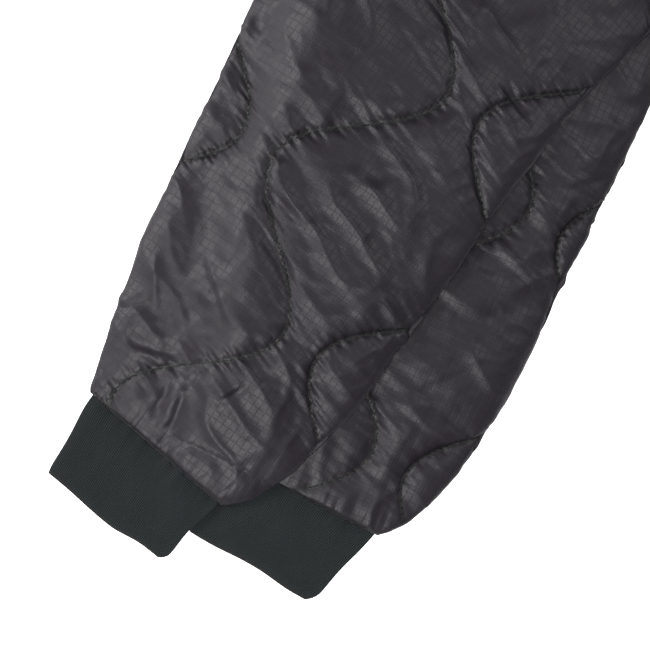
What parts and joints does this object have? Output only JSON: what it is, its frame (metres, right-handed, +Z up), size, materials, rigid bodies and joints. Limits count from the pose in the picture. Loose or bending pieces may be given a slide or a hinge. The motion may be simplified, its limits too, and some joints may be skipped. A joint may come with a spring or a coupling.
{
  "type": "quilted zip-up hoodie",
  "caption": "Quilted ripstop zip-up hoodie with rib-knit cuffs and hem band, zipped, folded in half lengthwise and laid flat, sleeves to one side.",
  "frame": {"origin": "middle of the folded garment's outline, on the surface that it lies on", "axes": "+Y from the hem to the hood, -X towards the sleeves, +Z up from the surface"},
  "size_m": [0.8308, 1.0504, 0.0337],
  "materials": {
    "quilted_nylon": "wave-quilted ripstop nylon with a soft sheen",
    "rib_knit": "matte one-by-one rib knit",
    "zip_tape": "matte woven tape",
    "zip_metal": "dark satin metal"
  },
  "bodies": {
    "garment": {"front_left": "quilted_nylon", "front_right": "quilted_nylon", "back": "quilted_nylon", "hem_band": "rib_knit", "sleeve_right": "quilted_nylon", "cuff_right": "rib_knit", "sleeve_left": "quilted_nylon", "cuff_left": "rib_knit", "hood_left": "quilted_nylon", "hood_right": "quilted_nylon", "zip_tape_left": "zip_tape", "zip_tape_right": "zip_tape", "zip_chain": "zip_metal", "zip_box": "zip_metal", "zip_slider": "zip_metal"},
    "pull": {"zip_pull": "zip_metal"}
  },
  "joints": [
    {"name": "pull_flip", "type": "hinge", "parent": "garment", "child": "pull", "pos_m": [0.39935, 0.07577, 0.01845], "axis": [-1, 0, 0], "range_deg": [0, 170]}
  ]
}
